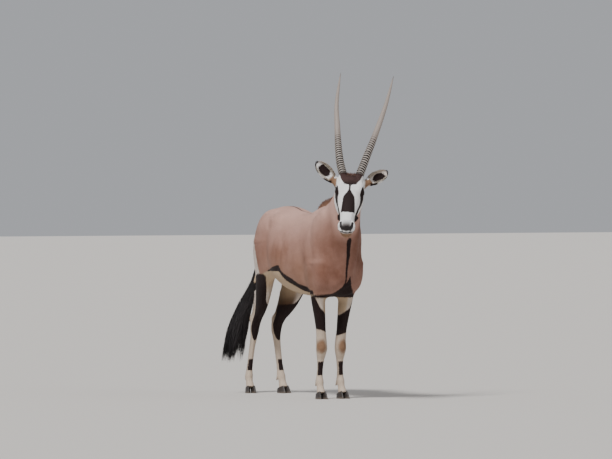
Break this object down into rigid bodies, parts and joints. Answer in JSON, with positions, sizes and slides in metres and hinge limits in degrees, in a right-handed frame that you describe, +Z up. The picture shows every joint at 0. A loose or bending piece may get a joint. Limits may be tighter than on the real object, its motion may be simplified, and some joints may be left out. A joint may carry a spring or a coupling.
{
  "type": "gemsbok",
  "caption": "Life-size standing gemsbok, a large antelope with long straight ringed horns, head turned to its right.",
  "frame": {"origin": "middle of the bounding box in X and Y, on the floor under the soles of the hooves", "axes": "+Z up along the legs; the animal faces -Y, its left side is toward +X, and its head is turned toward -X"},
  "size_m": [0.689, 1.6618, 2.0252],
  "materials": {
    "hide": "short fawn hair",
    "face_hide": "short white and black hair",
    "leg_hide": "short white and dark hair",
    "eye": "moist and glossy",
    "horn": "ringed keratin, satin",
    "hoof": "worn keratin",
    "tail_hair": "long black hair",
    "mane_hair": "short upright chestnut hair"
  },
  "bodies": {
    "root": {"torso": "hide", "neck": "hide", "head": "face_hide", "ear_right": "face_hide", "eye_right": "eye", "horn_right": "horn", "ear_left": "face_hide", "eye_left": "eye", "horn_left": "horn", "leg_fore_right": "leg_hide", "hoof_fore_right_a": "hoof", "hoof_fore_right_b": "hoof", "leg_fore_left": "leg_hide", "hoof_fore_left_a": "hoof", "hoof_fore_left_b": "hoof", "leg_hind_right": "leg_hide", "hoof_hind_right_a": "hoof", "hoof_hind_right_b": "hoof", "leg_hind_left": "leg_hide", "hoof_hind_left_a": "hoof", "hoof_hind_left_b": "hoof", "tail_dock": "tail_hair", "tail_hair": "tail_hair", "mane": "mane_hair"}
  },
  "joints": []
}
